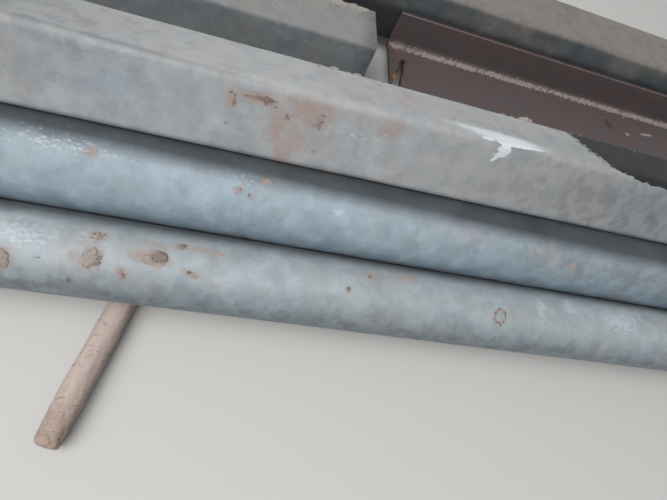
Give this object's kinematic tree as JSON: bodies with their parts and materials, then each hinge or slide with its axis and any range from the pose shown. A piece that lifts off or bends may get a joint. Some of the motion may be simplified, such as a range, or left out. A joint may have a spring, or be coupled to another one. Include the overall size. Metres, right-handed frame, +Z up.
{
  "type": "stack of steel tubes",
  "caption": "Loose stack of galvanised round and square steel tubes with a red-oxide angle section, lying on round timber bearers.",
  "frame": {"origin": "on the floor, at the centre of the stack's footprint", "axes": "+X along the tubes, +Y towards the back of the stack, +Z up"},
  "size_m": [3, 0.755, 0.216],
  "materials": {
    "galvanised_steel": "hot-dip galvanised, dull and spangled, dusty with light rust stains",
    "red_oxide_steel": "matt red-oxide primer, dusty and scratched",
    "bearer_timber": "peeled round timber, pale and dusty"
  },
  "bodies": {
    "root": {"round_tube_front": "galvanised_steel", "round_tube_upper": "galvanised_steel", "round_tube_inner": "galvanised_steel", "square_tube_top": "galvanised_steel", "square_tube_rear": "galvanised_steel", "square_tube_back": "galvanised_steel", "angle_section": "red_oxide_steel", "bearer_left": "bearer_timber", "bearer_long": "bearer_timber", "bearer_inner": "bearer_timber", "bearer_right": "bearer_timber"}
  },
  "joints": []
}
